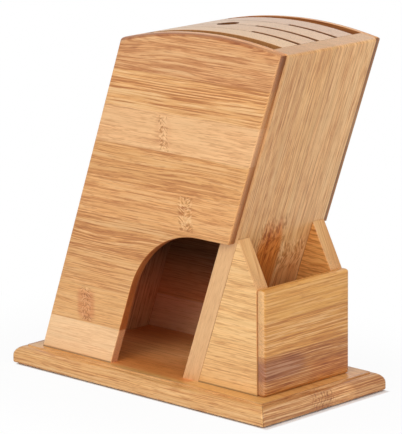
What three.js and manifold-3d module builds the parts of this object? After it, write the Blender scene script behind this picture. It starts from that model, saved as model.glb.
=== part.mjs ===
// A leaning knife block of laminated bamboo with a small open compartment in front, in millimetres.
// X runs from the back to the compartment, Y across the block and Z up. The body is glued up from
// boards that lean forward together, and their tops are cut to one shared crown. Heights are
// measured from the underside of the base board until the finished block is set on its origin.
import * as THREE from 'three';
import { mergeVertices } from 'three/addons/utils/BufferGeometryUtils.js';
import { RoundedBoxGeometry } from 'three/addons/geometries/RoundedBoxGeometry.js';
import Module from 'manifold-3d';

const wasm = await Module();
wasm.setup();

// Base board
const baseLength = 250;
const baseWidth = 128;
const baseThickness = 13;
const baseRound = 7; // quarter round along the top edge
const baseShoulder = 0.8; // flat left inside the quarter round
const baseShoulderRise = 1; // from that flat up to the top face
const baseCorner = 2; // radius of the four upright corners
const baseUnderEase = 1;
const edgingWidth = 10; // of the moulded strips, mitred at the corners, that edge the base board

// Leaning body
const lean = THREE.MathUtils.degToRad(20);
const bodyBack = -106.5; // where the back face of the body meets the base board
const bodyDepth = 140; // from the back face to the side panels' front edges, square to the lean
const bodyHeight = 247.3; // from the base board to the highest point of the crown
const innerWidth = 88; // between the side panels
const panelThickness = 7;
const frontBoardThickness = 14;
const backBoardThickness = 14;
const frontProud = 2; // the front board stands this far ahead of the side panels
const crownRadius = 340;
const crownForward = 6; // highest point of the crown, ahead of the body's middle plane
const crownCornerRound = 2; // where the crown turns down into the front and back faces

// Arch in each side panel
const legWidth = 71; // leg left behind the arch, measured on the base board
const archHeight = 104.5; // from the base board to the flat top of the arch
const archRadius = 70;

// Core: four planks, with thin spacers between them that stop the knife slots at the back
const grooveWidth = 8.5; // long groove beside each side panel
const slotWidth = 3;
const coreLift = 2.5; // underside of the core, above the top of the arch
const middleSpacerDepth = 58.5; // from the back board, square to the lean
const outerSpacerDepth = 71.5;
const steelHoleDiameter = 15; // for a sharpening steel, bored along the lean
const steelHoleDepth = 34; // from the back board to the middle of the hole

// Compartment
const boxReach = 107.6; // front face, from the middle of the base board
const boxFrontThickness = 7;
const boxSideThickness = 12;
const boxFrontHeight = 75.5; // above the base board
const boxSideHeight = 107.5; // above the base board, where the sides meet the front board

// Edges that are rounded or broken by sanding
const crownOuterRound = 4; // along the outer top edges of the side panels
const panelEdgeRound = 1.5;
const archEase = 1;
const innerEase = 0.5;
const slotEase = 0.6;
const boardArrisRound = 1.2; // upright edges of the front board
const boxEase = 1;
const boxFrontRound = 2.5; // all edges of the compartment's front

// Pads and screws under the base board
const padRadius = 7;
const padThickness = 2;
const padSunk = 1; // let into the base board
const padInset = 19; // from the edges of the base to the middle of a pad
const padEase = 0.4;
const screwHeadRadius = 3.6;
const screwShankRadius = 1.75;
const screwHeadDepth = 2.4;
const screwTip = 3.5;
const screwLength = 28;
const screwSunk = 1; // head below the underside of the base board
const screwSpread = 60; // between the two screws of one board

// Clearances
const glueLine = 0.25; // between leaning faces that are glued together
const fit = 0.3; // round pads, screws and bored holes

// How finely round shapes are divided
const crownStep = 6; // longest chord along the crown
const archStep = 5;
const roundSteps = 4; // facets of a rounded edge
const turnSteps = 32;
const screwTurnSteps = 16;
const cutMargin = 5; // how far a cutting tool runs past what it cuts

// Places that follow from the sizes above
const baseTop = baseThickness;
const archTop = baseTop + archHeight;
const coreBottom = archTop + coreLift;
const halfInner = innerWidth / 2;
const halfOuter = halfInner + panelThickness;
const frontFaceDepth = bodyDepth + frontProud;
const frontBoardInner = frontFaceDepth - frontBoardThickness;
const coreBack = backBoardThickness + glueLine;
const coreFront = frontBoardInner - glueLine;
const coreWidth = innerWidth - 2 * grooveWidth;
const plankWidth = (coreWidth - 3 * slotWidth) / 4;
const steelHoleAt = backBoardThickness + steelHoleDepth;
const boxFrontInner = boxReach - boxFrontThickness;
const boxFrontTop = baseTop + boxFrontHeight;
const boxSideTop = baseTop + boxSideHeight;

const leanDirection = new THREE.Vector2(Math.sin(lean), Math.cos(lean));
const crownTop = baseTop + bodyHeight;
const crownCentre = new THREE.Vector2(
  leanX(bodyDepth / 2, crownTop) + crownForward,
  crownTop - crownRadius,
);

const woods = {
  panel: wood('#dda873'),
  face: wood('#cc9c6e'),
  core: wood('#d3b18c'),
  base: wood('#c98f57'),
  box: wood('#d6a267'),
};
const rubber = new THREE.MeshStandardMaterial({ color: '#35322f', roughness: 0.85, metalness: 0 });
const steel = new THREE.MeshStandardMaterial({ color: '#b4b6b8', roughness: 0.35, metalness: 1 });

function wood(color) {
  return new THREE.MeshStandardMaterial({ color, roughness: 0.35, metalness: 0 });
}

// X of the leaning plane that lies `depth` ahead of the body's back face, at height z.
function leanX(depth, z) {
  return bodyBack + depth / Math.cos(lean) + (z - baseTop) * Math.tan(lean);
}

function leanPoint(depth, z) {
  return new THREE.Vector2(leanX(depth, z), z);
}

// Where that leaning plane meets the crown.
function crownPoint(depth) {
  const start = leanPoint(depth, baseTop);
  const fromCentre = start.clone().sub(crownCentre);
  const along = fromCentre.dot(leanDirection);
  const reach = Math.sqrt(along ** 2 - fromCentre.lengthSq() + crownRadius ** 2) - along;
  return start.addScaledVector(leanDirection, reach);
}

// An outline in the XZ plane, drawn anticlockwise seen from -Y. Every edge has a label, by which
// a board finds how far that edge is rounded.
class Outline {
  constructor(start) {
    this.points = [start];
    this.labels = [];
  }

  lineTo(point, label) {
    this.points.push(point);
    this.labels.push(label);
    return this;
  }

  arcTo(centre, point, label, longestChord) {
    const from = this.points.at(-1).clone().sub(centre);
    const turn = signedAngle(from, point.clone().sub(centre));
    const steps = Math.max(1, Math.ceil(Math.abs(turn) * from.length() / longestChord));
    const origin = new THREE.Vector2();
    for (let i = 1; i < steps; i += 1) {
      const spoke = from.clone().rotateAround(origin, turn * i / steps);
      this.lineTo(spoke.add(centre), label);
    }
    return this.lineTo(point, label);
  }

  crownTo(depth) {
    return this.arcTo(crownCentre, crownPoint(depth), 'crown', crownStep);
  }

  close(label) {
    this.labels.push(label);
    return this;
  }
}

function signedAngle(from, to) {
  return Math.atan2(from.cross(to), from.dot(to));
}

// The outline with each edge moved into the material by its own amount.
function insetPoints({ points }, insets) {
  const count = points.length;
  return points.map((point, i) => {
    const previous = (i + count - 1) % count;
    const arriving = point.clone().sub(points[previous]).normalize();
    const leaving = points[(i + 1) % count].clone().sub(point).normalize();
    const turn = arriving.cross(leaving);
    const shift = arriving.multiplyScalar(insets[i]).addScaledVector(leaving, -insets[previous]);
    return point.clone().sub(shift.divideScalar(turn));
  });
}

// How far a rounded edge is cut back at a given depth below the face that it rounds into.
function roundInset(radius, depth) {
  const left = Math.max(0, radius - depth);
  return radius - Math.sqrt(radius ** 2 - left ** 2);
}

// The depths at which a board with these edge radii needs a ring.
function roundDepths(radii) {
  const depths = new Set([0]);
  for (const radius of Object.values(radii)) {
    for (let i = 1; i <= roundSteps; i += 1) {
      depths.add(radius * (1 - Math.cos(Math.PI / 2 * i / roundSteps)));
    }
  }
  return [...depths].sort((a, b) => a - b);
}

// A board across the block from yLow to yHigh. lowRadii and highRadii give the radius of the
// edges at its two faces by label, and an edge without one stays square.
function board(outline, yLow, yHigh, lowRadii = {}, highRadii = {}) {
  const ringAt = (y, radii, depth) => {
    const insets = outline.labels.map((label) => roundInset(radii[label] ?? 0, depth));
    return insetPoints(outline, insets).map((point) => new THREE.Vector3(point.x, y, point.y));
  };
  const low = roundDepths(lowRadii).map((depth) => ringAt(yLow + depth, lowRadii, depth));
  const high = roundDepths(highRadii).map((depth) => ringAt(yHigh - depth, highRadii, depth));
  return skin([...low, ...high.reverse()], (point) => new THREE.Vector2(point.x, point.z));
}

// A closed solid through rings of equally many points. flatten gives the plane in which the two
// end rings, which are flat, are filled.
function skin(rings, flatten) {
  const count = rings[0].length;
  const index = [];
  for (let k = 0; k + 1 < rings.length; k += 1) {
    for (let i = 0; i < count; i += 1) {
      const a = k * count + i;
      const b = k * count + (i + 1) % count;
      index.push(a, a + count, b, b, a + count, b + count);
    }
  }
  const last = (rings.length - 1) * count;
  for (const [a, b, c] of THREE.ShapeUtils.triangulateShape(rings[0].map(flatten), [])) {
    index.push(a, b, c);
  }
  for (const [a, b, c] of THREE.ShapeUtils.triangulateShape(rings.at(-1).map(flatten), [])) {
    index.push(last + a, last + c, last + b);
  }
  return faceted(new THREE.BufferGeometry().setFromPoints(rings.flat()).setIndex(index));
}

function faceted(geometry) {
  const flat = geometry.index ? geometry.toNonIndexed() : geometry;
  flat.computeVertexNormals();
  return flat;
}

function toManifold(geometry) {
  const bare = geometry.clone();
  bare.deleteAttribute('normal');
  bare.deleteAttribute('uv');
  const merged = mergeVertices(bare);
  return new wasm.Manifold(new wasm.Mesh({
    numProp: 3,
    vertProperties: merged.attributes.position.array,
    triVerts: new Uint32Array(merged.index.array),
  }));
}

function fromManifold(solid) {
  const mesh = solid.getMesh();
  const result = new THREE.BufferGeometry();
  result.setAttribute('position', new THREE.BufferAttribute(mesh.vertProperties, 3));
  result.setIndex(new THREE.BufferAttribute(mesh.triVerts, 1));
  return faceted(result);
}

function cut(geometry, tools) {
  const rest = tools.reduce((body, tool) => body.subtract(toManifold(tool)), toManifold(geometry));
  return fromManifold(rest);
}

function keepWithin(geometry, tool) {
  return fromManifold(toManifold(geometry).intersect(toManifold(tool)));
}

// The cutting tool that rounds the convex corner between two directions along its faces.
function cornerTool(corner, alongA, alongB, radius) {
  const halfAngle = Math.abs(signedAngle(alongA, alongB)) / 2;
  const tangent = radius / Math.tan(halfAngle);
  const bisector = alongA.clone().add(alongB).normalize();
  const startA = corner.clone().addScaledVector(alongA, tangent);
  const startB = corner.clone().addScaledVector(alongB, tangent);
  const centre = corner.clone().addScaledVector(bisector, radius / Math.sin(halfAngle));
  const outA = startA.clone().sub(centre).setLength(cutMargin);
  const outB = startB.clone().sub(centre).setLength(cutMargin);
  return new Outline(startA)
    .arcTo(centre, startB, 'round', radius / roundSteps)
    .lineTo(startB.clone().add(outB), 'out')
    .lineTo(corner.clone().add(outA).add(outB), 'out')
    .lineTo(startA.clone().add(outA), 'out')
    .close('out');
}

// Rounds the edge where the crown turns down into the leaning plane at this depth. inwards is 1
// where the body lies ahead of the plane and -1 where it lies behind it.
function crownCornerTool(depth, inwards) {
  const corner = crownPoint(depth);
  const down = leanDirection.clone().negate();
  const spoke = corner.clone().sub(crownCentre).normalize();
  const across = new THREE.Vector2(spoke.y, -spoke.x).multiplyScalar(inwards);
  const sides = inwards > 0 ? [down, across] : [across, down];
  const outline = cornerTool(corner, ...sides, crownCornerRound);
  return board(outline, -halfOuter - cutMargin, halfOuter + cutMargin);
}

// Rounds an upright edge of the front board, at y on the side that `side` points to.
function frontArrisTool(side) {
  const corner = new THREE.Vector2(frontFaceDepth, side * halfInner);
  const back = new THREE.Vector2(-1, 0);
  const across = new THREE.Vector2(0, -side);
  const section = cornerTool(corner, back, across, boardArrisRound);
  const bar = new THREE.ExtrudeGeometry(new THREE.Shape(section.points), {
    depth: bodyHeight + 4 * cutMargin,
    bevelEnabled: false,
  });
  bar.rotateY(lean);
  return bar.translate(bodyBack, 0, baseTop - (frontFaceDepth + cutMargin) * Math.sin(lean));
}

function revolve(profile, steps) {
  const points = profile.map(([radius, height]) => new THREE.Vector2(radius, height));
  return new THREE.LatheGeometry(points, steps).rotateX(Math.PI / 2);
}

// Base ---------------------------------------------------------------------------------------

function makeBaseBoard() {
  const length = baseLength - 2 * edgingWidth;
  const width = baseWidth - 2 * edgingWidth;
  const blank = new THREE.BoxGeometry(length, width, baseThickness);
  blank.translate(0, 0, baseThickness / 2);
  return cut(blank, [...padPlaces.map(makePadRecess), ...screwPlaces.map(makeScrewHole)]);
}

// One level of the moulded outside of the base: its rectangle drawn in by `inset`, with eased
// upright corners.
function baseRing(z, inset) {
  const shape = new THREE.Shape();
  const x = baseLength / 2 - inset - baseCorner;
  const y = baseWidth / 2 - inset - baseCorner;
  shape.absarc(x, -y, baseCorner, -Math.PI / 2, 0);
  shape.absarc(x, y, baseCorner, 0, Math.PI / 2);
  shape.absarc(-x, y, baseCorner, Math.PI / 2, Math.PI);
  shape.absarc(-x, -y, baseCorner, Math.PI, Math.PI * 3 / 2);
  return shape.getPoints(roundSteps).map((point) => new THREE.Vector3(point.x, point.y, z));
}

function makeMouldedBlank() {
  const rings = [];
  for (let i = 0; i <= roundSteps; i += 1) {
    const angle = Math.PI / 2 * i / roundSteps;
    rings.push(baseRing(baseUnderEase * (1 - Math.cos(angle)), baseUnderEase * (1 - Math.sin(angle))));
  }
  const springing = baseTop - baseShoulderRise - baseRound;
  for (let i = 0; i <= 2 * roundSteps; i += 1) {
    const angle = Math.PI / 4 * i / roundSteps;
    rings.push(baseRing(springing + baseRound * Math.sin(angle), baseRound * (1 - Math.cos(angle))));
  }
  rings.push(baseRing(baseTop - baseShoulderRise, baseRound + baseShoulder));
  rings.push(baseRing(baseTop, baseRound + baseShoulder));
  return skin(rings.reverse(), (point) => new THREE.Vector2(point.x, point.y));
}

// The edging strip of the side that `turn` points to, `reach` from the middle of the base. Its
// mitres stand half a glue line off the corners' diagonals.
function makeEdging(turn, reach, halfLength) {
  const mitreGap = glueLine / 2 * Math.SQRT2;
  const inside = reach - edgingWidth;
  const outside = reach + cutMargin;
  const insideEnd = halfLength - edgingWidth - mitreGap;
  const outsideEnd = halfLength + cutMargin - mitreGap;
  const plan = new THREE.Shape([
    new THREE.Vector2(inside, -insideEnd),
    new THREE.Vector2(outside, -outsideEnd),
    new THREE.Vector2(outside, outsideEnd),
    new THREE.Vector2(inside, insideEnd),
  ]);
  const depth = baseThickness + 2 * cutMargin;
  const sector = new THREE.ExtrudeGeometry(plan, { depth, bevelEnabled: false });
  sector.translate(0, 0, -cutMargin).rotateZ(turn);
  return keepWithin(makeMouldedBlank(), sector);
}

// Leaning body -------------------------------------------------------------------------------

function archedOutline() {
  const legTop = new THREE.Vector2(leanX(0, archTop) + legWidth, archTop);
  const legFoot = new THREE.Vector2(leanX(0, baseTop) + legWidth, baseTop);
  const tangent = archRadius / Math.tan((Math.PI / 2 + lean) / 2);
  const onLeg = legTop.clone().addScaledVector(leanDirection, -tangent);
  const onTop = new THREE.Vector2(legTop.x + tangent, archTop);
  const centre = new THREE.Vector2(onTop.x, archTop - archRadius);
  return new Outline(leanPoint(0, baseTop))
    .lineTo(legFoot, 'foot')
    .lineTo(onLeg, 'arch')
    .arcTo(centre, onTop, 'arch', archStep)
    .lineTo(leanPoint(bodyDepth, archTop), 'arch')
    .lineTo(crownPoint(bodyDepth), 'edge')
    .crownTo(0)
    .close('edge');
}

// The plain leaning outline between two depths, from a level bottom up to the crown.
function leaningOutline(backDepth, frontDepth, bottom) {
  return new Outline(leanPoint(backDepth, bottom))
    .lineTo(leanPoint(frontDepth, bottom), 'foot')
    .lineTo(crownPoint(frontDepth), 'edge')
    .crownTo(backDepth)
    .close('edge');
}

// side is -1 for the left panel and 1 for the right one, seen from the compartment's end.
function makeSidePanel(side) {
  const outline = archedOutline();
  const outer = { crown: crownOuterRound, edge: panelEdgeRound, arch: archEase };
  const inner = { crown: innerEase, edge: innerEase, arch: innerEase };
  const blank = side < 0
    ? board(outline, -halfOuter, -halfInner, outer, inner)
    : board(outline, halfInner, halfOuter, inner, outer);
  return cut(blank, [crownCornerTool(0, 1), crownCornerTool(bodyDepth, -1)]);
}

function makeFrontBoard() {
  const blank = board(leaningOutline(frontBoardInner, frontFaceDepth, baseTop), -halfInner, halfInner);
  const arrises = [-1, 1].map(frontArrisTool);
  return cut(blank, [crownCornerTool(frontFaceDepth, -1), ...arrises, ...screwPlaces.map(makeScrewHole)]);
}

function makeBackBoard() {
  const blank = board(leaningOutline(0, backBoardThickness, baseTop), -halfInner, halfInner);
  return cut(blank, [crownCornerTool(0, 1), ...screwPlaces.map(makeScrewHole)]);
}

// Core ---------------------------------------------------------------------------------------

function makeSteelHole() {
  const radius = steelHoleDiameter / 2;
  const height = bodyHeight + 4 * cutMargin;
  const bore = new THREE.CylinderGeometry(radius, radius, height, turnSteps);
  bore.rotateX(Math.PI / 2).rotateY(lean);
  const middle = leanPoint(steelHoleAt, baseTop + bodyHeight / 2);
  return bore.translate(middle.x, 0, middle.y);
}

function makePlank(place) {
  const yLow = -coreWidth / 2 + place * (plankWidth + slotWidth);
  const outline = leaningOutline(coreBack, coreFront, coreBottom);
  const eased = { crown: slotEase, foot: slotEase };
  return cut(board(outline, yLow, yLow + plankWidth, eased, eased), [makeSteelHole()]);
}

function makeSpacer(slot, backDepth, frontDepth) {
  const middle = slot * (plankWidth + slotWidth);
  const outline = leaningOutline(backDepth, frontDepth, coreBottom);
  return board(outline, middle - slotWidth / 2, middle + slotWidth / 2);
}

// Compartment --------------------------------------------------------------------------------

function makeBoxSide(side) {
  const againstBoard = frontFaceDepth + glueLine;
  const outline = new Outline(leanPoint(againstBoard, baseTop))
    .lineTo(new THREE.Vector2(boxFrontInner, baseTop), 'foot')
    .lineTo(new THREE.Vector2(boxFrontInner, boxFrontTop), 'end')
    .lineTo(leanPoint(againstBoard, boxSideTop), 'slope')
    .close('glued');
  const outerFace = side * halfInner;
  const innerFace = side * (halfInner - boxSideThickness);
  const eased = { slope: boxEase };
  const low = Math.min(outerFace, innerFace);
  const high = Math.max(outerFace, innerFace);
  return cut(board(outline, low, high, eased, eased), screwPlaces.map(makeScrewHole));
}

function makeBoxFront() {
  const panel = new RoundedBoxGeometry(
    boxFrontThickness,
    innerWidth,
    boxFrontHeight,
    roundSteps,
    boxFrontRound,
  );
  return panel.translate(boxReach - boxFrontThickness / 2, 0, baseTop + boxFrontHeight / 2);
}

// Pads and screws ----------------------------------------------------------------------------

function makePad(place) {
  const top = padSunk;
  const bottom = padSunk - padThickness;
  const profile = [
    [0, bottom],
    [padRadius - padEase, bottom],
    [padRadius, bottom + padEase],
    [padRadius, top],
    [0, top],
  ];
  return revolve(profile, turnSteps).translate(place.x, place.y, 0);
}

function makePadRecess(place) {
  const radius = padRadius + fit;
  const profile = [[0, -cutMargin], [radius, -cutMargin], [radius, padSunk], [0, padSunk]];
  return revolve(profile, turnSteps).translate(place.x, place.y, 0);
}

function makeScrew(place) {
  const profile = [
    [0, 0],
    [screwHeadRadius, 0],
    [screwShankRadius, screwHeadDepth],
    [screwShankRadius, screwLength - screwTip],
    [0, screwLength],
  ];
  return revolve(profile, screwTurnSteps).translate(place.x, place.y, screwSunk);
}

function makeScrewHole(place) {
  const profile = [
    [0, -screwSunk - cutMargin],
    [screwHeadRadius + fit, -screwSunk - cutMargin],
    [screwHeadRadius + fit, 0],
    [screwShankRadius + fit, screwHeadDepth],
    [screwShankRadius + fit, screwLength + fit],
    [0, screwLength + fit],
  ];
  return revolve(profile, screwTurnSteps).translate(place.x, place.y, screwSunk);
}

// Upright screws stand where a leaning board's middle plane crosses the middle of their grip.
function screwX(depth) {
  return leanX(depth, (baseTop + screwSunk + screwLength) / 2);
}

function makePlaces() {
  const padX = baseLength / 2 - padInset;
  const padY = baseWidth / 2 - padInset;
  const pads = [];
  const screws = [];
  for (const side of [-1, 1]) {
    for (const end of [-1, 1]) {
      pads.push(new THREE.Vector2(end * padX, side * padY));
    }
    const boxSideY = side * (halfInner - boxSideThickness / 2);
    const boxSideX = (leanX(frontFaceDepth, baseTop) + boxFrontInner) / 2;
    screws.push(new THREE.Vector2(screwX(backBoardThickness / 2), side * screwSpread / 2));
    screws.push(new THREE.Vector2(screwX(frontFaceDepth - frontBoardThickness / 2), side * screwSpread / 2));
    screws.push(new THREE.Vector2(boxSideX, boxSideY));
  }
  return [pads, screws];
}

// The whole block ----------------------------------------------------------------------------

const [padPlaces, screwPlaces] = makePlaces();
const block = new THREE.Group();

function add(name, geometry, material) {
  const mesh = new THREE.Mesh(geometry, material);
  mesh.name = name;
  block.add(mesh);
}

add('base_board', makeBaseBoard(), woods.base);
add('base_edging_front', makeEdging(0, baseLength / 2, baseWidth / 2), woods.base);
add('base_edging_right', makeEdging(Math.PI / 2, baseWidth / 2, baseLength / 2), woods.base);
add('base_edging_back', makeEdging(Math.PI, baseLength / 2, baseWidth / 2), woods.base);
add('base_edging_left', makeEdging(-Math.PI / 2, baseWidth / 2, baseLength / 2), woods.base);
add('side_panel_left', makeSidePanel(-1), woods.panel);
add('side_panel_right', makeSidePanel(1), woods.panel);
add('front_board', makeFrontBoard(), woods.face);
add('back_board', makeBackBoard(), woods.face);

['outer_left', 'inner_left', 'inner_right', 'outer_right'].forEach((name, place) => {
  add(`core_plank_${name}`, makePlank(place), woods.core);
});
const middleSpacerFront = backBoardThickness + middleSpacerDepth;
const outerSpacerFront = backBoardThickness + outerSpacerDepth;
const holeRadius = steelHoleDiameter / 2;
add('slot_spacer_left', makeSpacer(-1, coreBack, outerSpacerFront), woods.core);
add('slot_spacer_right', makeSpacer(1, coreBack, outerSpacerFront), woods.core);
add('slot_spacer_middle_back', makeSpacer(0, coreBack, steelHoleAt - holeRadius), woods.core);
add('slot_spacer_middle_front', makeSpacer(0, steelHoleAt + holeRadius, middleSpacerFront), woods.core);

add('compartment_side_left', makeBoxSide(-1), woods.box);
add('compartment_side_right', makeBoxSide(1), woods.box);
add('compartment_front', makeBoxFront(), woods.box);

padPlaces.forEach((place, i) => add(`foot_pad_${i + 1}`, makePad(place), rubber));
screwPlaces.forEach((place, i) => add(`base_screw_${i + 1}`, makeScrew(place), steel));

// The origin is under the middle of the block's box, on the surface that it stands on.
const bounds = new THREE.Box3().setFromObject(block);
const middle = bounds.getCenter(new THREE.Vector3());
block.position.set(-middle.x, -middle.y, -bounds.min.z);

const knifeBlock = new THREE.Group();
knifeBlock.add(block);

export default knifeBlock;
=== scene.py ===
"""The finish of a leaning bamboo knife block: lacquered, edge-glued boards in soft studio light.

Lengths are in metres and the frame is the CAD model's: X runs from the back to the compartment,
Y across the block and Z up. Bamboo patterns are laid out in millimetres along each board's grain.
"""
import math

import bpy
from mathutils import Matrix, Vector


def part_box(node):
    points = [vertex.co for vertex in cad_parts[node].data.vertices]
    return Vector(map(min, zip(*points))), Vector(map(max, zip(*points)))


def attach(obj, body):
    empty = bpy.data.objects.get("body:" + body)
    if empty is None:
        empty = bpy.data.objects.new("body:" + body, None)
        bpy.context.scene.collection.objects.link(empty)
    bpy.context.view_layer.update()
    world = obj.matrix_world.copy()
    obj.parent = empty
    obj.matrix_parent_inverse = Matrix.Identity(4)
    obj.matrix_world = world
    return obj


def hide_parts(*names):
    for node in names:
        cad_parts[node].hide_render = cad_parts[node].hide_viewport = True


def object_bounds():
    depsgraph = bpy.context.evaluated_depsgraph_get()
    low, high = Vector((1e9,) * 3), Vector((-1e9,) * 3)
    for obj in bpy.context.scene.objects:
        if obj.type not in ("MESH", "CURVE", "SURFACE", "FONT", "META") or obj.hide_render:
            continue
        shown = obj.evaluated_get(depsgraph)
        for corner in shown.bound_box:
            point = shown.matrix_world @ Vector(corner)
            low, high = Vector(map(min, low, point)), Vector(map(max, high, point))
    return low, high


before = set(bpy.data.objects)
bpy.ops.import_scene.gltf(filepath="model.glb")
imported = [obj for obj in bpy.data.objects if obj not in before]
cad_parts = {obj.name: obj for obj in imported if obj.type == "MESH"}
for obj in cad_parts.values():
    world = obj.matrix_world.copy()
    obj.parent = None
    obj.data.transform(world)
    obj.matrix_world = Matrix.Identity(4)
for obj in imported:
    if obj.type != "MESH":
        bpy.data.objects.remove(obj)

CAD_BOX = [list(map(float, corner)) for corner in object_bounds()]
MM = 0.001
WHITE = (1, 1, 1, 1)

# Camera and light --------------------------------------------------------------------------

CAMERA_AIM = Vector((0.0031, 0.0, 0.1184))
CAMERA_AZIMUTH = math.radians(44.11)   # turned from the view along +Y towards -X
CAMERA_ELEVATION = math.radians(12.82)
CAMERA_ROLL = math.radians(-0.54)
CAMERA_DISTANCE = 2.2103
SENSOR_WIDTH = 36.0
CAMERA_LENS = 279.6

# Square lamps, aimed at the middle of the block: the place and the watts of each.
LAMPS = {
    "key": ((0.2, -1.9, 1.2), 15),
    "fill": ((2.0, -0.4, 0.9), 13),
    "top": ((1.1, -1.1, 1.6), 13),
}
LAMP_AIM = (0, 0, 0.12)
LAMP_SIDE = 1.2
ROOM_LIGHT = 0.34

# The floor: half its side, its paper's white, and how far it shows as plain white beside the base
# and far from it. The second is reached over a stretch given in millimetres from the base.
FLOOR_HALF = 3.0
PAPER = (0.9, 0.9, 0.9, 1)
PAPER_SHOWN_NEAR = 0.93
PAPER_SHOWN_FAR = 1.0
FAR_STRETCH = (10.0, 160.0)

# Directions and places of the block --------------------------------------------------------

# The body leans forward from the vertical. LEAN_AXIS points up along it, and ACROSS_LEAN from its
# back to its front.
LEAN = math.radians(20)
LEAN_AXIS = Vector((math.sin(LEAN), 0, math.cos(LEAN)))
ACROSS_LEAN = Vector((math.cos(LEAN), 0, -math.sin(LEAN)))
AXIS_X = Vector((1, 0, 0))
AXIS_Y = Vector((0, 1, 0))
AXIS_Z = Vector((0, 0, 1))

# The outside of the base with its edging, in millimetres.
BASE_LENGTH = (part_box("base_edging_front")[1][0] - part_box("base_edging_back")[0][0]) / MM
BASE_WIDTH = (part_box("base_edging_right")[1][1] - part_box("base_edging_left")[0][1]) / MM

# In millimetres: the body's depth, square to the lean, the height that the boards stand on, the
# body's back and front planes, and how far out the side panels reach.
BODY_DEPTH = 140
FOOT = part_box("side_panel_left")[0][2] / MM
PANEL_BACK = (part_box("side_panel_left")[0][0] * ACROSS_LEAN.x) / MM + FOOT * ACROSS_LEAN.z
PANEL_FRONT = PANEL_BACK + BODY_DEPTH
PANEL_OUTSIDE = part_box("side_panel_right")[1][1] / MM

# Tints that follow the height run from 0 at the floor to 1 here, just below the crown's top.
TINTS_TOP = 260

# Facets that meet at less than this angle shade as one curve, and corners this close are joined.
SMOOTH_ANGLE = math.radians(40)
WELD_DISTANCE = 0.01 * MM


# Shader arithmetic -------------------------------------------------------------------------

class Value:
    """A number's socket. Each operator on it adds one Math node."""

    def __init__(self, graph, socket):
        self.graph = graph
        self.socket = socket

    def math(self, operation, *terms):
        inputs = dict(enumerate(terms))
        return self.graph.add("ShaderNodeMath", {"operation": operation}, inputs)

    def __add__(self, other):
        return self.math("ADD", self, other)

    def __radd__(self, other):
        return self.math("ADD", other, self)

    def __sub__(self, other):
        return self.math("SUBTRACT", self, other)

    def __rsub__(self, other):
        return self.math("SUBTRACT", other, self)

    def __mul__(self, other):
        return self.math("MULTIPLY", self, other)

    def __rmul__(self, other):
        return self.math("MULTIPLY", other, self)

    def __truediv__(self, other):
        return self.math("DIVIDE", self, other)

    def __rtruediv__(self, other):
        return self.math("DIVIDE", other, self)

    def absolute(self):
        return self.math("ABSOLUTE", self)

    def larger(self, other):
        return self.math("MAXIMUM", self, other)

    def power(self, exponent):
        return self.math("POWER", self, exponent)

    def clamp(self):
        return self.graph.add("ShaderNodeClamp", {}, {"Value": self})

    def step(self, nought, one):
        """0 at the first number, 1 at the second, and a smooth change between them."""
        settings = {"interpolation_type": "SMOOTHSTEP"}
        inputs = {"Value": self, "From Min": nought, "From Max": one}
        return self.graph.add("ShaderNodeMapRange", settings, inputs)

    def near(self, width):
        """1 where the value is 0, falling smoothly to 0 over this width on both sides."""
        return self.absolute().step(width, 0)

    def wave(self, period):
        """A sine of that period."""
        return self.math("SINE", self * (2 * math.pi / period))


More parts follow.
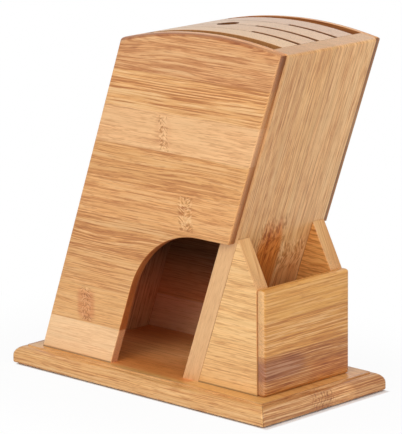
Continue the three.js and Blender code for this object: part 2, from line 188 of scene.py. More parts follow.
class Graph:
    """The nodes of a material or of the world."""

    def __init__(self, owner):
        self.owner = owner
        owner.use_nodes = True
        owner.node_tree.nodes.clear()

    def add(self, kind, settings, inputs, output=None):
        """Makes a node, applies its settings, then its inputs by name or index.

        It gives back the output asked for, or else the first one that the settings leave on. The
        graph's own output has none to give.
        """
        tree = self.owner.node_tree
        node = tree.nodes.new(kind)
        for key, value in settings.items():
            if key == "stops":
                self.set_stops(node.color_ramp, value)
            elif key == "ramp_interpolation":
                node.color_ramp.interpolation = value
            else:
                setattr(node, key, value)
        for key, value in inputs.items():
            if isinstance(value, Value):
                tree.links.new(value.socket, node.inputs[key])
            else:
                node.inputs[key].default_value = value
        if not node.outputs:
            return None
        if output is None:
            output = next(i for i, socket in enumerate(node.outputs) if socket.enabled)
        return Value(self, node.outputs[output])

    @staticmethod
    def set_stops(ramp, stops):
        """Gives a ramp its stops, each a position and a colour. A new ramp has two."""
        while len(ramp.elements) < len(stops):
            ramp.elements.new(0.5)
        for element, (position, colour) in zip(ramp.elements, stops):
            element.position = position
            element.color = colour

    def point(self):
        """The place in the block, in metres."""
        return self.add("ShaderNodeTexCoord", {}, {}, "Object")

    def dot(self, vector, direction):
        """A vector times a fixed direction, as one number."""
        inputs = {0: vector, 1: list(direction)}
        return self.add("ShaderNodeVectorMath", {"operation": "DOT_PRODUCT"}, inputs, "Value")

    def along(self, point, direction):
        """How far the point lies along a direction, in millimetres."""
        return self.dot(point, [component / MM for component in direction])

    def noise(self, x, y, z, detail=2.0, roughness=0.5):
        """A smooth random number from 0 to 1, at a place where its bumps are one unit apart."""
        inputs = {
            "Vector": self.add("ShaderNodeCombineXYZ", {}, {0: x, 1: y, 2: z}),
            "Scale": 1.0,
            "Detail": detail,
            "Roughness": roughness,
        }
        return self.add("ShaderNodeTexNoise", {"noise_dimensions": "3D"}, inputs, 0)

    def ramp(self, value, stops, interpolation="LINEAR"):
        """The colour for a value, from stops that are each a value and its colour."""
        settings = {"stops": stops, "ramp_interpolation": interpolation}
        return self.add("ShaderNodeValToRGB", settings, {"Fac": value}, "Color")

    def mix(self, amount, first, second, blend="MIX"):
        """The first colour where the amount is 0 and the second where it is 1."""
        settings = {"data_type": "RGBA", "blend_type": blend}
        inputs = {0: amount, 6: first, 7: second}
        return self.add("ShaderNodeMix", settings, inputs, 2)

    def tint(self, amount, colour, tint):
        """The colour where the amount is 0, and the colour times the tint where it is 1."""
        return self.mix(amount, colour, tint, "MULTIPLY")

    def grade(self, colour, brightness):
        """The colour times a brightness."""
        return self.add("ShaderNodeHueSaturation", {}, {"Color": colour, "Value": brightness})

    def relief(self, height, strength, distance):
        """A normal tilted by the slope of a height, which is worth a distance in metres."""
        inputs = {"Strength": strength, "Distance": distance, "Height": height}
        return self.add("ShaderNodeBump", {}, inputs)

    def surface(self, inputs):
        """The material with a principled surface, from what its sockets take."""
        return self.show(self.add("ShaderNodeBsdfPrincipled", {}, inputs))

    def show(self, shader, output="ShaderNodeOutputMaterial"):
        """Sends a shader to the output and gives back the material or the world."""
        self.add(output, {}, {"Surface": shader})
        return self.owner


def srgb(red, green, blue):
    """A display colour, 0 to 255, as the linear colour that shaders take."""
    def linear(level):
        level /= 255
        return level / 12.92 if level <= 0.04045 else ((level + 0.055) / 1.055) ** 2.4
    return (linear(red), linear(green), linear(blue), 1.0)


# Boards ------------------------------------------------------------------------------------

class Strips:
    """The glued strips of a board.

    edges are the places across the board, in millimetres, where the strips begin and the last one
    ends. Each strip has a tone and the strengths of its long lines and of its short flecks.
    """

    def __init__(self, edges, strips):
        self.edges = edges
        self.low, self.high = edges[0], edges[-1]
        self.tones = self.stops([tone for tone, _, _ in strips])
        self.figures = self.stops([(lines, flecks, number / len(strips), 1)
                                   for number, (_, lines, flecks) in enumerate(strips)])

    def stops(self, colours):
        """Stops for a ramp across the board: each strip's colour from where the strip begins."""
        width = self.high - self.low
        return [((edge - self.low) / width, colour) for edge, colour in zip(self.edges, colours)]


def even_strips(first, width, strips):
    """Strips that are all of one width, from the first one's edge onwards."""
    return Strips([first + width * i for i in range(len(strips) + 1)], strips)


class Board(Graph):
    """The graph of one board, with the board's own directions and the strip at each place.

    x, y and z are the place in the block. u runs along the grain, v across it and w square to both.
    All are in millimetres. shift moves the noises on from strip to strip and from seed to seed.
    """

    STRIPS_APART = 611
    SEEDS_APART = 37

    def __init__(self, name, grain, across, strips, seed):
        super().__init__(bpy.data.materials.new(name))
        self.grain = grain
        self.across = across
        self.through = grain.cross(across)
        self.place = self.point()
        self.normal = self.add("ShaderNodeTexCoord", {}, {}, "Normal")
        self.x, self.y, self.z = (self.along(self.place, axis) for axis in (AXIS_X, AXIS_Y, AXIS_Z))
        own = (self.grain, self.across, self.through)
        self.u, self.v, self.w = (self.along(self.place, axis) for axis in own)
        share = (self.v - strips.low) / (strips.high - strips.low)
        self.tone = self.ramp(share, strips.tones, "CONSTANT")
        figure = self.ramp(share, strips.figures, "CONSTANT")
        self.line_strength, self.fleck_strength, number = (
            self.add("ShaderNodeSeparateColor", {}, {0: figure}, channel) for channel in range(3))
        self.seed = seed
        self.shift = number * self.STRIPS_APART + seed * self.SEEDS_APART

    def facing(self, direction, least=0.5, full=0.9):
        """How far a face looks along a direction.

        The normal times the direction, taken as 0 up to the least and as 1 from the full.
        """
        return self.dot(self.normal, direction).step(least, full)

    def facing_either(self, direction, least=0.5, full=0.9):
        """The same for faces that look along a direction or the opposite one."""
        return self.facing(direction, least, full) + self.facing(-direction, least, full)

    def inward(self):
        """The faces of a pair of upright boards, left and right, that look at each other."""
        return (self.facing(AXIS_Y) * self.y.step(0, -1)
                + self.facing(-AXIS_Y) * self.y.step(0, 1))

    def depth(self):
        """The place from the body's back to its front, square to the lean."""
        return self.along(self.place, ACROSS_LEAN)

    def figure(self, kind, bent, coarse=1.0):
        """One of the noises of the bamboo's figure, stretched along the grain."""
        length, width, apart, detail, roughness = kind
        return self.noise(self.u / length, bent / (width * coarse), self.shift + apart,
                          detail, roughness)


# Bamboo ------------------------------------------------------------------------------------

# The figure's noises: length along the grain and width across it in millimetres, how far each
# noise is set apart from the others, its detail and its roughness.
BANDS = (240, 4.5, 200, 1.0, 0.5)
LINES = (55, 1.0, 0, 1.5, 0.5)
FLECKS = (14, 0.78, 40, 2.0, 0.6)
FIBRES = (8, 0.4, 80, 2.0, 0.6)
CLOUD = (40, 8.0, 120, 2.0, 0.5)

# How far the bands and the cloud crowd the marks together, the pale lines' strength as a share of
# the dark ones', the fibres' strength, and the share of all marks that end grain lacks.
CROWDING = 0.20
PALE_LINES = 0.6
FIBRE_STRENGTH = 0.22
LOST_ON_END = 0.8

# In millimetres: the length and width of the lines' slow wander, how far a joint strays along the
# grain and bends the lines, how far ticks stray, and half the width of a glue line.
WANDER_SIZE = (85, 18)
JOINT_STRAY = 8
JOINT_BEND = 0.8
TICK_STRAY = 5
GLUE_LINE = 0.5

# A joint's strokes: their width as a share of their spacing, their length in widths, and how far
# apart the noises of the joint's two sides are set.
STROKE_WIDTH = 0.36
STROKE_LENGTH = 3.2
SIDES_APART = 17

# How ragged a patch's rim is, as a share of its size, how much darker the glue lines are between
# strips, and how dark the painted contact shade is along the foot of a board.
PATCH_RAGGED = 0.40
GLUE_LINE_SHADE = 0.10
PAINTED_FOOT_SHADE = 0.6

PALE_FIBRE = srgb(252, 212, 158)
STREAK_TINT = (0.60, 0.41, 0.26, 1)
JOINT_TINT = (0.60, 0.45, 0.25, 1)
TICK_TINT = (0.46, 0.29, 0.18, 1)

# Painted shade of the faces inside the body, where little light reaches: tints by share of the
# height from the floor to TINTS_TOP.
INSIDE_SHADE_TINTS = [
    (0.06, (1.0, 0.90, 0.92, 1)),
    (0.17, (0.94, 0.68, 0.76, 1)),
    (0.30, (0.24, 0.22, 0.25, 1)),
    (0.75, (0.52, 0.34, 0.17, 1)),
]

# The lacquer, and how much rougher flecks, end grain and the faces inside the body are.
LACQUER_IOR = 1.5
LACQUER_ROUGHNESS = 0.32
FLECK_ROUGHER = 0.08
END_ROUGHER = 0.10
INSIDE_ROUGHER = 0.62


def bent_place(board, wander, eyes, cut_lines):
    """The place across the grain that lines follow.

    It is v + 0.8 w, which carries the lines round the board's edges, plus a slow wander, plus at
    each eye its rise times the nearness along and across. With cut_lines it starts as v + 1.2 w,
    where v counts for a tenth on all but the flat faces, so that cut edges show level lines.
    """
    bent = board.v + board.w * 0.8
    if cut_lines:
        flat = board.facing_either(board.through, 0.3, 0.7)
        bent = board.v * (0.1 + flat * 0.9) + board.w * 1.2
    length, width = WANDER_SIZE
    slow = board.noise(board.u / length, board.v / width, board.shift, 1.0)
    bent = bent + (slow - 0.5) * wander
    for along, over, reach, width, rise in eyes:
        bent = bent + (board.u - along).near(reach) * (board.v - over).near(width) * rise
    return bent


def stem_joint(board, joint):
    """One joint of the stem: its dark strokes, its pale strokes, and how it bends the lines.

    The strokes are a noise in v and in the distance from the joint, both turned by the slant, so
    that the two sides mirror each other. They fade out over the half width. The bend is a sine
    across the grain, at the strokes' spacing.
    """
    along, lowest, highest, half_width, spacing, slant, dark, pale = joint
    v = board.v
    within = v.step(lowest, lowest + 0.8) * v.step(highest, highest - 0.8)
    away = board.u - along + (board.noise(along, v / 5, board.seed, 1.0) - 0.5) * JOINT_STRAY
    out = away.absolute()
    width = spacing * STROKE_WIDTH
    side = away.step(-0.4, 0.4) * SIDES_APART
    strokes = board.noise((v + out * slant) / width, (out - v * slant) / (width * STROKE_LENGTH),
                          board.shift + side, 1.0)
    near = away.near(half_width).step(0.05, 0.55) * within
    dark_strokes = strokes.step(0.51, 0.62) * near * dark
    pale_strokes = strokes.step(0.48, 0.38) * near * pale
    bend = away.near(half_width + 5.0) * within * v.wave(spacing) * JOINT_BEND
    return dark_strokes, pale_strokes, bend


def tick_strokes(board, tick):
    """Short strokes over the grain: a sine of u + slant w, pushed about and broken by noises."""
    along, over, reach, depth, spacing, slant, strength = tick
    near = (board.u - along).near(reach) * (board.v - over).near(depth)
    stray = (board.noise(board.u / 4, board.w / 3, board.seed + 5) - 0.5) * TICK_STRAY
    fan = board.u + board.w * slant + stray
    broken = board.noise(board.u / 2, board.w / 3, board.seed + 8).step(0.35, 0.6)
    return fan.wave(spacing).step(0.0, 0.8) * broken * near.step(0.1, 0.5) * strength


def patch_shape(board, along, over, half_length, half_width):
    """A patch with rounded corners and a ragged rim, 1 inside and 0 outside.

    Its distance is the fourth root of (u / half length)^4 + (v / half width)^4, plus a noise.
    """
    ragged = (board.noise(board.u / 14, board.v / 1.8, board.shift + 200) - 0.5) * PATCH_RAGGED
    far_u = ((board.u - along) / half_length).power(4)
    far_v = ((board.v - over) / half_width).power(4)
    distance = (far_u + far_v).power(0.25) + ragged
    return distance.step(1.05, 0.65)


def bamboo(name, grain, across, strips, end_tint, seed, wander, faces=None, joints=(),
           patches=(), eyes=(), ticks=(), foot=None, coarse=1.0, blotch=0.18,
           end_from=(0.80, 0.97), marked=None, side_highlight=None, cut_lines=False):
    """Lacquered bamboo: glued strips with long lines, short flecks and fine fibres along the grain.

    end_tint is for the end grain, one tint or stops by height, on faces turned to the grain by
    end_from. wander is how far the lines stray, in millimetres.
    faces(board) gives the faces with a look of their own, most of it painted shade and light, each
    (amount, tint), where a tint of None means the painted shade of the inside.
    joints are those of the bamboo stem, each (place along the grain, lowest and highest place
    across it, half width, spacing and slant of its strokes, strength of the dark and of the pale).
    patches are each (place along, place across, half length, half width, tint, strength).
    eyes are places that the lines bend round, each (place along, place across, reach along, reach
    across, rise). ticks are groups of short strokes, each (place along, place across, reach along,
    reach across, spacing, slant, strength).
    foot is the height that the board stands on, along which runs a painted contact shade. coarse
    widens the lines and the flecks, and blotch sets the slow change of brightness.
    marked is the direction of the only faces that show joints, patches and the painted foot shade.
    The faces across the grain can take a paler colour, a painted highlight for the light that falls
    on them. cut_lines is for boards that are sawn to a curve.
    """
    board = Board(name, grain, across, strips, seed)
    on_face = 1.0 if marked is None else board.facing(marked)
    bent = bent_place(board, wander, eyes, cut_lines)
    joint_strokes = []
    for joint in joints:
        dark_strokes, pale_strokes, bend = stem_joint(board, joint)
        joint_strokes.append((dark_strokes * on_face, pale_strokes * on_face))
        bent = bent + bend

    bands = board.figure(BANDS, bent)
    lines = board.figure(LINES, bent, coarse)
    flecks = board.figure(FLECKS, bent, coarse)
    fibres = board.figure(FIBRES, bent)
    cloud = board.figure(CLOUD, bent)

    # Each mark is its noise taken from the value where it begins to the one where it is full.
    end = board.facing_either(grain, *end_from)
    long_grain = 1 - end * LOST_ON_END
    crowd = (bands - 0.5) * CROWDING + (cloud - 0.5) * CROWDING
    dark = (lines + crowd).step(0.50, 0.61) * board.line_strength * long_grain
    pale = (lines + crowd).step(0.47, 0.36) * board.line_strength * long_grain
    speck = (flecks + crowd).step(0.50, 0.64) * board.fleck_strength * long_grain
    colour = board.mix(pale * PALE_LINES, board.tone, PALE_FIBRE)
    colour = board.tint(dark, colour, STREAK_TINT)
    colour = board.tint(speck, colour, STREAK_TINT)
    colour = board.tint(fibres.step(0.50, 0.75) * FIBRE_STRENGTH, colour, STREAK_TINT)
    for dark_strokes, pale_strokes in joint_strokes:
        colour = board.mix(pale_strokes, colour, PALE_FIBRE)
        colour = board.tint(dark_strokes, colour, JOINT_TINT)
    for tick in ticks:
        colour = board.tint(tick_strokes(board, tick), colour, TICK_TINT)
    for *shape, tint, strength in patches:
        colour = board.tint(patch_shape(board, *shape) * strength * on_face, colour, tint)

    # The slow change of brightness, the glue lines between strips, and a painted contact shade
    # along the board's foot.
    brightness = 1.0 + (cloud - 0.5) * blotch + (bands - 0.5) * blotch
    for edge in strips.edges[1:-1]:
        brightness = brightness - (board.v - edge).near(GLUE_LINE) * GLUE_LINE_SHADE
    if foot is not None:
        # A painted contact shade just above the foot, where the board meets the base.
        painted_foot_shade = board.z.step(foot + 1.5, foot + 0.6)
        brightness = brightness - painted_foot_shade * PAINTED_FOOT_SHADE * on_face
    colour = board.grade(colour, brightness)

    vessels = board.noise(board.u / 3, board.v / 0.8, board.w / 0.8, 2.0, 0.6)
    if isinstance(end_tint, list):
        end_tint = board.ramp(board.z / TINTS_TOP, end_tint)
    end_colour = board.tint(1.0, colour, end_tint)
    end_colour = board.grade(end_colour, 1.06 - vessels.step(0.46, 0.64) * 0.24)
    colour = board.mix(end, colour, end_colour)
    # A painted highlight: the faces across the grain take a paler colour.
    if side_highlight:
        side_highlight_colour = board.tint(fibres.step(0.45, 0.75) * 0.5, side_highlight, STREAK_TINT)
        colour = board.mix(board.facing_either(across) * 0.75, colour, side_highlight_colour)

    roughness = LACQUER_ROUGHNESS + speck * FLECK_ROUGHER + end * END_ROUGHER
    if faces is not None:
        # The painted shade of the inside, by height.
        inside = board.ramp(board.z / TINTS_TOP, INSIDE_SHADE_TINTS)
        for amount, tint in faces(board):
            colour = board.tint(amount, colour, tint or inside)
            if tint is None:
                roughness = roughness + amount * INSIDE_ROUGHER

    relief = board.relief(lines * 0.6 + fibres * 0.4, 0.06, 0.5 * MM)
    return board.surface({"Base Color": colour, "Roughness": roughness, "Normal": relief,
                          "IOR": LACQUER_IOR})


# Faces with a look of their own, mostly painted shade and light -------------------------------

# Darker sawn grain and painted shade on the arch's cut edges.
CUT_GRAIN_AND_SHADE_TINT = (0.58, 0.33, 0.17, 1)
# Painted shade in the corner between a panel's front edge and the front board.
CORNER_SHADE_TINT = (0.43, 0.33, 0.22, 1)
# A painted highlight on the panels' crowns.
CROWN_HIGHLIGHT_TINT = (1.28, 1.24, 1.06, 1)
# A deeper painted shade in the knife slots.
SLOT_SHADE_TINT = (0.50, 0.42, 0.36, 1)
# Painted shade on the body's floor near the side panels.
FLOOR_EDGE_SHADE_TINT = (1.0, 0.68, 0.54, 1)
# Painted light and sheen on the middle of the body's floor.
FLOOR_MIDDLE_PAINTED_LIGHT = (1.32, 1.16, 1.30, 1)
# Painted shade inside the compartment, reddened as by light bounced between its walls.
IN_BOX_SHADE_TINT = (0.95, 0.77, 0.54, 1)
BOX_SLOPE_TINT = (0.80, 0.73, 0.66, 1)
BOX_RIB_TINT = (0.60, 0.46, 0.34, 1)

# Across the boards, in millimetres: where the first strip begins and how wide all strips are, or
# where each strip begins and the last one ends.
PANEL_STRIPS = (12.4, 27.07)
BACK_STRIPS = (-48, 24)
CORE_STRIPS = (-36, 18)
BASE_STRIPS = (-BASE_WIDTH / 2, BASE_WIDTH / 4)
SIDE_EDGING_STRIPS = (-BASE_WIDTH / 2, BASE_WIDTH / 2)
END_EDGING_STRIPS = (-BASE_LENGTH / 2, BASE_LENGTH / 2)
BOX_SIDE_STRIPS = (14, 36)
FRONT_EDGES = [-44, -19, 4, 28, 44]
BOX_FRONT_EDGES = [14, 42.5, 66, 90]

# In millimetres. The arch's cut edges all lie below ARCH_TOP. The painted shade down the panels'
# front edges is fainter about the height given below. The slots and the painted light on the middle
# of the body's floor reach this far to either side. The ribs are the rough sawn lines inside the
# compartment.
ARCH_TOP = 140
FAINT_SHADE_HEIGHT = 200
FAINT_SHADE_REACH = 45
SLOTS_REACH = 26
FLOOR_MIDDLE_REACH = 36
RIB_SPACING = 4.2


def panel_faces(board):
    """The side panels' inner faces, the arch's cut edges, the front edge and the crown.

    The inner faces take the painted shade of the inside. The cut edges are darker sawn grain with
    painted shade, fainter on the lowest strip. The front edge has a painted shade in the corner by
    the front board. The crown has a painted highlight, with a painted shade along its outer rim
    that fades towards the front.
    """
    depth = board.depth()
    between = (depth.step(PANEL_BACK + 3, PANEL_BACK + 4)
               * depth.step(PANEL_FRONT - 3, PANEL_FRONT - 4))
    forward = board.facing(ACROSS_LEAN)
    first_joint = sum(PANEL_STRIPS)
    # The arch's cut edges: darker sawn grain with painted shade.
    cut = (forward + board.facing(-AXIS_Z)) * between * board.z.step(ARCH_TOP + 10, ARCH_TOP)
    cut = cut * (0.42 + board.z.step(first_joint - 1, first_joint + 0.5) * 0.58)
    out = board.y.absolute()
    # Painted shade down the front edge, in the corner by the front board.
    front_edge = forward * depth.step(PANEL_FRONT - 1, PANEL_FRONT - 0.5)
    corner_shade = front_edge * out.step(PANEL_OUTSIDE - 0.5, PANEL_OUTSIDE - 5)
    corner_shade = corner_shade * (0.85 - (board.z - FAINT_SHADE_HEIGHT).near(FAINT_SHADE_REACH) * 0.5)
    # Along the crown: a painted shade on the outer rim and a painted highlight on the rest.
    rim = out.step(PANEL_OUTSIDE - 3.4, PANEL_OUTSIDE - 2.4)
    fading = 0.3 + depth.step(PANEL_FRONT - 14, PANEL_FRONT - 34) * 0.6
    crown_rim_shade = board.facing(AXIS_Z, 0.30, 0.45) * rim * fading
    crown = board.facing(AXIS_Z, 0.62, 0.85) * (1 - rim)
    return [(board.inward(), None), (cut, CUT_GRAIN_AND_SHADE_TINT), (corner_shade, CORNER_SHADE_TINT),
            (crown_rim_shade, STREAK_TINT), (crown, CROWN_HIGHLIGHT_TINT)]


def front_board_faces(board):
    """The face that looks back into the body, with the painted shade of the inside."""
    return [(board.facing(-ACROSS_LEAN), None)]


def back_board_faces(board):
    """The face that looks forward into the body, with the painted shade of the inside."""
    return [(board.facing(ACROSS_LEAN), None)]


def core_faces(board):
    """Every face of the core except its crown, with the painted shade of the inside. The knife
    slots near the middle have a deeper painted shade.
    """
    below = 1 - board.facing(LEAN_AXIS)
    # A deeper painted shade in the knife slots near the middle.
    slots = board.y.absolute().step(SLOTS_REACH, SLOTS_REACH - 2)
    return [(below, None), (below * slots, SLOT_SHADE_TINT)]


def base_faces(board):
    """The base board's top between the side panels, from the back board to the front board: a
    painted shade near the panels and painted light with a painted sheen in the middle.
    """
    depth = board.depth()
    out = board.y.absolute()
    within = depth.step(PANEL_BACK, PANEL_BACK + 4) * depth.step(PANEL_FRONT, PANEL_FRONT - 4)
    # Painted light and sheen in the middle, painted shade near the panels.
    middle = within * out.step(FLOOR_MIDDLE_REACH, 0)
    edges = within * out.step(PANEL_OUTSIDE + 3, PANEL_OUTSIDE - 4) * (1 - middle)
    return [(edges, FLOOR_EDGE_SHADE_TINT), (middle, FLOOR_MIDDLE_PAINTED_LIGHT)]


def box_side_faces(board):
    """The compartment sides' inner faces, with painted shade and ribs, and their sloping tops.

    The ribs are a sine of the height, tilted by a tenth of x and strayed by a noise.
    """
    inward = board.inward()
    strayed = board.z + board.x * 0.10 + board.noise(board.x / 12, board.z / 7, 3.0) * 5
    ribs = strayed.wave(RIB_SPACING).step(0.0, 1.1)
    slope = board.facing(AXIS_Z, 0.10, 0.25)
    return [(inward, IN_BOX_SHADE_TINT), (inward * ribs * 0.6, BOX_RIB_TINT), (slope, BOX_SLOPE_TINT)]


def box_front_faces(board):
    """The face that looks back into the compartment, with painted shade."""
    return [(board.facing(-AXIS_X), IN_BOX_SHADE_TINT)]


# Finishes ----------------------------------------------------------------------------------

PLAIN_END = (0.86, 0.80, 0.80, 1)


def panel_finishes():
    """The side panels: ten strips one above the other, the same in both but for the joints."""
    strips = even_strips(*PANEL_STRIPS, [
        (srgb(252, 208, 156), 0.22, 0.26),
        (srgb(234, 177, 111), 0.38, 0.45),
        (srgb(228, 169, 104), 0.50, 0.52),
        (srgb(222, 161, 96), 0.60, 0.58),
        (srgb(232, 171, 106), 0.42, 0.60),
        (srgb(228, 168, 102), 0.52, 0.62),
        (srgb(240, 188, 132), 0.25, 0.50),
        (srgb(230, 171, 106), 0.85, 0.40),
        (srgb(220, 160, 103), 0.55, 0.62),
        (srgb(217, 156, 99), 0.60, 0.62),
    ])
    left_end = [
        (0.0, (0.74, 0.61, 0.61, 1)),
        (0.70, (0.74, 0.61, 0.57, 1)),
        (0.85, (0.70, 0.59, 0.53, 1)),
        (0.92, (0.66, 0.54, 0.47, 1)),
        (0.96, (0.48, 0.34, 0.28, 1)),
    ]
    right_end = (0.45, 0.37, 0.30, 1)
    reddish = (0.84, 0.62, 0.56, 1)
    eyes = [
        (-20.0, 243.0, 46.0, 9.0, 4.5),
        (60.0, 162.0, 60.0, 9.0, -3.0),
        (-50.0, 104.0, 60.0, 10.0, 3.0),
    ]
    left_joints = [
        (17.0, 175.5, 201.0, 6.5, 3.6, 1.0, 0.75, 0.60),
        (37.5, 121.5, 147.0, 10.0, 3.9, -0.7, 0.75, 0.50),
        (-63.0, 41.0, 66.0, 7.0, 3.8, 1.0, 0.85, 0.50),
    ]
    right_joints = [
        (-22.0, 148.5, 174.0, 6.5, 3.6, 0.9, 0.60, 0.50),
        (52.0, 229.5, 254.0, 6.0, 3.7, 1.0, 0.55, 0.45),
    ]
    left_patches = [
        (-63.0, 53.0, 10.0, 13.0, reddish, 0.75),
        (17.0, 190.0, 9.0, 13.0, reddish, 0.18),
    ]
    right_patches = [(-22.0, 161.0, 10.0, 13.0, reddish, 0.35)]

    def panel(name, outward, end, seed, joints, patches):
        return bamboo(name, AXIS_X, AXIS_Z, strips, end, seed, wander=3.0, faces=panel_faces,
                      joints=joints, patches=patches, eyes=eyes, foot=FOOT, coarse=0.95,
                      marked=outward, cut_lines=True)

    return {
        "panel_left": panel("left_panel_bamboo", -AXIS_Y, left_end, 1.0, left_joints,
                            left_patches),
        "panel_right": panel("right_panel_bamboo", AXIS_Y, right_end, 2.0, right_joints,
                             right_patches),
    }


def body_finishes():
    """The front and back boards and the core, with the grain up the lean."""
    board_strips = [
        (srgb(218, 165, 106), 0.55, 0.68),
        (srgb(224, 172, 111), 0.53, 0.68),
        (srgb(230, 179, 120), 0.51, 0.66),
        (srgb(233, 184, 126), 0.47, 0.64),
    ]
    core_strips = [
        (srgb(238, 198, 154), 0.20, 0.34),
        (srgb(231, 191, 152), 0.20, 0.34),
        (srgb(235, 197, 160), 0.20, 0.34),
        (srgb(230, 193, 162), 0.20, 0.34),
    ]
    board_top = (0.96, 1.00, 1.30, 1)
    core_top = (1.02, 1.02, 1.06, 1)
    # Darker, redder patches low on the front board, inside the compartment: partly the strips' own
    # burnt tone, partly painted shade with the red of light bounced off the compartment's walls.
    burnt_tone_and_shade = (0.82, 0.47, 0.22, 1)
    front_joints = [
        (136.0, -22.0, 6.0, 26.0, 4.6, 0.40, 0.70, 0.30),
        (118.0, 4.0, 30.0, 18.0, 4.8, 0.40, 0.65, 0.60),
    ]
    front_patches = [
        (96.0, -8.0, 58.0, 15.0, burnt_tone_and_shade, 1.0),
        (66.0, 18.0, 66.0, 16.0, burnt_tone_and_shade, 0.50),
        (66.0, -36.0, 70.0, 16.0, burnt_tone_and_shade, 0.60),
    ]
    return {
        "front": bamboo("front_board_bamboo", LEAN_AXIS, AXIS_Y,
                        Strips(FRONT_EDGES, board_strips), board_top, seed=3.0, wander=1.5,
                        faces=front_board_faces, joints=front_joints, patches=front_patches,
                        coarse=0.9, blotch=0.30, marked=ACROSS_LEAN,
                        # A paler colour on the sides, a painted highlight.
                        side_highlight=srgb(236, 188, 134)),
        "back": bamboo("back_board_bamboo", LEAN_AXIS, AXIS_Y,
                       even_strips(*BACK_STRIPS, board_strips), board_top, seed=4.0, wander=1.5,
                       faces=back_board_faces),
        "core": bamboo("core_bamboo", LEAN_AXIS, AXIS_Y,
                       even_strips(*CORE_STRIPS, core_strips), core_top, seed=5.0, wander=1.5,
                       faces=core_faces),
    }


def base_finishes():
    """The base board and its edging, where each layout has one strip for either end or side."""
    base_strips = [
        (srgb(232, 176, 102), 0.36, 0.50),
        (srgb(224, 165, 94), 0.36, 0.50),
        (srgb(227, 168, 98), 0.36, 0.50),
        (srgb(222, 163, 92), 0.36, 0.50),
    ]
    side_edging = [(srgb(228, 174, 110), 0.55, 0.60)] * 2
    end_edging = [(srgb(200, 144, 88), 0.72, 0.74)] * 2
    pale = (1.25, 1.32, 1.40, 1)
    end_ticks = [(-2.0, 124.0, 19.0, 16.0, 3.2, 0.6, 0.8)]
    end_patches = [(18.0, 124.0, 14.0, 9.0, pale, 0.8)]
    return {
        "base": bamboo("base_bamboo", AXIS_X, AXIS_Y,
                       even_strips(*BASE_STRIPS, base_strips), PLAIN_END, seed=7.0, wander=2.0,
                       faces=base_faces),
        "edging_side": bamboo("side_edging_bamboo", AXIS_X, AXIS_Y,
                              even_strips(*SIDE_EDGING_STRIPS, side_edging), PLAIN_END,
                              seed=8.0, wander=1.5),
        "edging_end": bamboo("end_edging_bamboo", AXIS_Y, AXIS_X,
                             even_strips(*END_EDGING_STRIPS, end_edging), PLAIN_END,
                             seed=9.0, wander=1.5, patches=end_patches, ticks=end_ticks),
    }


def box_finishes():
    """The open compartment's sides and front."""
    side_strips = [
        (srgb(242, 192, 126), 0.42, 0.48),
        (srgb(246, 198, 132), 0.40, 0.48),
        (srgb(244, 195, 130), 0.42, 0.48),
    ]
    front_strips = [
        (srgb(186, 121, 56), 0.65, 0.70),
        (srgb(212, 150, 74), 0.60, 0.45),
        (srgb(218, 158, 79), 0.35, 0.40),
    ]
    mauve = (0.66, 0.55, 0.66, 1)
    orange = (0.98, 0.84, 0.62, 1)
    pink_end = (1.08, 1.26, 2.20, 1)
    front_patches = [
        (-28.0, 32.0, 30.0, 9.0, mauve, 0.9),
        (26.0, 22.0, 26.0, 9.0, orange, 0.8),
    ]
    return {
        "box_side": bamboo("box_side_bamboo", AXIS_X, AXIS_Z,
                           even_strips(*BOX_SIDE_STRIPS, side_strips), PLAIN_END,
                           seed=10.0, wander=2.0, faces=box_side_faces, foot=FOOT,
                           end_from=(0.95, 0.99), cut_lines=True),
        "box_front": bamboo("box_front_bamboo", AXIS_Y, AXIS_Z,
                            Strips(BOX_FRONT_EDGES, front_strips), pink_end,
                            seed=11.0, wander=1.6, faces=box_front_faces,
                            patches=front_patches, end_from=(0.50, 0.75)),
    }


def plain(name, colour, roughness, metallic=0.0):
    """One colour, with a cloud of 2 mm in its brightness and roughness and a grain of 0.4 mm."""
    g = Graph(bpy.data.materials.new(name))
    point = g.point()
    places = [g.along(point, axis) for axis in (AXIS_X, AXIS_Y, AXIS_Z)]
    cloud = g.noise(*(place / 2 for place in places), 3.0)
    grain = g.noise(*(place / 0.4 for place in places), 2.0)
    return g.surface({
        "Base Color": g.grade(colour, 0.85 + cloud * 0.3),
        "Roughness": roughness + (cloud - 0.5) * 0.2,
        "Metallic": metallic,
        "Normal": g.relief(grain, 0.2, 0.2 * MM),
    })


def fitting_finishes():
    """The pads' rubber and the screws' steel."""
    return {
        "rubber": plain("pad_rubber", srgb(42, 40, 38), 0.8),
        "steel": plain("screw_steel", srgb(176, 178, 180), 0.35, 1.0),
    }


# Each finish of bamboo, the name of a material slot, which nothing here reads, and the boards
# that have it.
BOARDS = {
    "base": ("bamboo_base", ["base_board"]),
    "edging_end": ("bamboo_edging", ["base_edging_front", "base_edging_back"]),
    "edging_side": ("bamboo_edging", ["base_edging_left", "base_edging_right"]),
    "panel_left": ("bamboo_panel", ["side_panel_left"]),
    "panel_right": ("bamboo_panel", ["side_panel_right"]),
    "front": ("bamboo_face", ["front_board"]),
    "back": ("bamboo_face", ["back_board"]),
    "core": ("bamboo_core", [
        "core_plank_outer_left",
        "core_plank_inner_left",
        "core_plank_inner_right",
        "core_plank_outer_right",
        "slot_spacer_left",
        "slot_spacer_right",
        "slot_spacer_middle_back",
        "slot_spacer_middle_front",
    ]),
    "box_side": ("bamboo_box", ["compartment_side_left", "compartment_side_right"]),
    "box_front": ("bamboo_box", ["compartment_front"]),
}
FITTINGS = {"foot_pad": "rubber", "base_screw": "steel"}


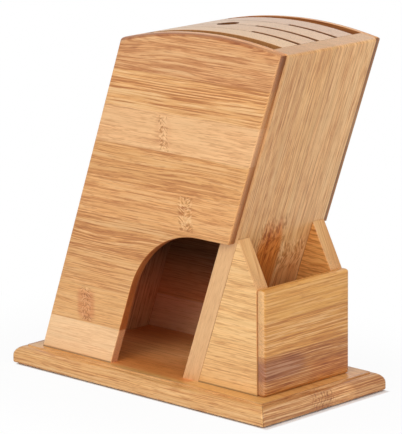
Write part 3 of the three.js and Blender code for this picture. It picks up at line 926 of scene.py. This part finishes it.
def finished_board(node, material):
    """A copy of a board with its facets joined, so that rounded edges shade as curves."""
    piece = bpy.data.objects.new(node + "_finished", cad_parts[node].data.copy())
    bpy.context.scene.collection.objects.link(piece)
    weld = piece.modifiers.new("weld", "WELD")
    weld.merge_threshold = WELD_DISTANCE
    bpy.context.view_layer.objects.active = piece
    piece.select_set(True)
    bpy.ops.object.modifier_apply(modifier=weld.name)
    piece.select_set(False)
    mesh = piece.data
    mesh.attributes.remove(mesh.attributes["custom_normal"])
    mesh.shade_smooth()
    mesh.set_sharp_from_angle(angle=SMOOTH_ANGLE)
    even = piece.modifiers.new("even_normals", "WEIGHTED_NORMAL")
    even.keep_sharp = True
    even.weight = 100
    mesh.materials.clear()
    mesh.materials.append(material)
    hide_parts(node)
    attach(piece, "root")


def dress():
    """Gives every board a finished copy and every pad and screw its material."""
    finishes = {**panel_finishes(), **body_finishes(), **base_finishes(), **box_finishes(),
                **fitting_finishes()}
    for finish, (slot, boards) in BOARDS.items():
        for node in boards:
            finished_board(node, finishes[finish])
    for node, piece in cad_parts.items():
        for kind, finish in FITTINGS.items():
            if node.startswith(kind):
                piece.data.materials.clear()
                piece.data.materials.append(finishes[finish])


# Studio ------------------------------------------------------------------------------------

def make_camera():
    """Looks at CAMERA_AIM from the azimuth and elevation given, rolled about its own axis."""
    back = Vector((
        math.sin(CAMERA_AZIMUTH) * math.cos(CAMERA_ELEVATION),
        -math.cos(CAMERA_AZIMUTH) * math.cos(CAMERA_ELEVATION),
        math.sin(CAMERA_ELEVATION),
    ))
    turn = back.to_track_quat("Z", "Y").to_matrix() @ Matrix.Rotation(CAMERA_ROLL, 3, "Z")
    data = bpy.data.cameras.new("camera")
    data.sensor_fit = "HORIZONTAL"
    data.sensor_width = SENSOR_WIDTH
    data.lens = CAMERA_LENS
    camera = bpy.data.objects.new("camera", data)
    bpy.context.scene.collection.objects.link(camera)
    place = CAMERA_AIM + back * CAMERA_DISTANCE
    camera.matrix_world = Matrix.Translation(place) @ turn.to_4x4()
    bpy.context.scene.camera = camera


def make_lamp(name, place, watts):
    """A square lamp that shines on the middle of the block."""
    data = bpy.data.lights.new(name, "AREA")
    data.shape = "SQUARE"
    data.size = LAMP_SIDE
    data.energy = watts
    lamp = bpy.data.objects.new(name, data)
    bpy.context.scene.collection.objects.link(lamp)
    turn = (Vector(LAMP_AIM) - Vector(place)).to_track_quat("-Z", "Y").to_matrix()
    lamp.matrix_world = Matrix.Translation(place) @ turn.to_4x4()


def seen_directly(g):
    """1 for rays from the camera, or by way of a mirror or glass."""
    camera, gloss, glass = (
        g.add("ShaderNodeLightPath", {}, {}, output)
        for output in ("Is Camera Ray", "Is Glossy Ray", "Is Transmission Ray")
    )
    return (camera + gloss + glass).clamp()


def make_floor():
    """A sheet of white paper. It stays dark in the narrow gap under the base.

    past is how far a place lies outside the base's rectangle: the larger of |x| - length / 2 and
    |y| - width / 2, from the middle of the CAD box.
    """
    low, high = -FLOOR_HALF, FLOOR_HALF
    mesh = bpy.data.meshes.new("floor")
    corners = [(low, low, 0), (high, low, 0), (high, high, 0), (low, high, 0)]
    mesh.from_pydata(corners, [], [(0, 1, 2, 3)])
    floor = bpy.data.objects.new("floor", mesh)
    bpy.context.scene.collection.objects.link(floor)
    g = Graph(bpy.data.materials.new("floor_paper"))
    point = g.point()
    middle_x, middle_y = ((CAD_BOX[0][i] + CAD_BOX[1][i]) / 2 / MM for i in (0, 1))
    past_x = (g.along(point, AXIS_X) - middle_x).absolute() - BASE_LENGTH / 2
    past_y = (g.along(point, AXIS_Y) - middle_y).absolute() - BASE_WIDTH / 2
    past = past_x.larger(past_y)
    open_paper = past.step(-1.0, 0.6)
    shown = PAPER_SHOWN_NEAR + past.step(*FAR_STRETCH) * (PAPER_SHOWN_FAR - PAPER_SHOWN_NEAR)
    paper = g.add("ShaderNodeBsdfDiffuse", {}, {"Color": PAPER})
    glow = g.add("ShaderNodeEmission", {}, {"Color": WHITE, "Strength": 1.0})
    amount = seen_directly(g) * open_paper * shown
    mesh.materials.append(g.show(g.add("ShaderNodeMixShader", {}, {0: amount, 1: paper, 2: glow})))


def make_world():
    """Soft light from all round, and plain white where it is seen directly."""
    g = Graph(bpy.data.worlds.new("studio"))
    soft = g.add("ShaderNodeBackground", {}, {"Color": WHITE, "Strength": ROOM_LIGHT})
    white = g.add("ShaderNodeBackground", {}, {"Color": WHITE, "Strength": 1.0})
    mixed = g.add("ShaderNodeMixShader", {}, {0: seen_directly(g), 1: soft, 2: white})
    bpy.context.scene.world = g.show(mixed, "ShaderNodeOutputWorld")


def make_studio():
    """The camera, the floor, the soft light all round and the lamps."""
    make_camera()
    make_floor()
    make_world()
    for name, (place, watts) in LAMPS.items():
        make_lamp(name, place, watts)
    bpy.context.scene.view_settings.view_transform = "Standard"


dress()
make_studio()
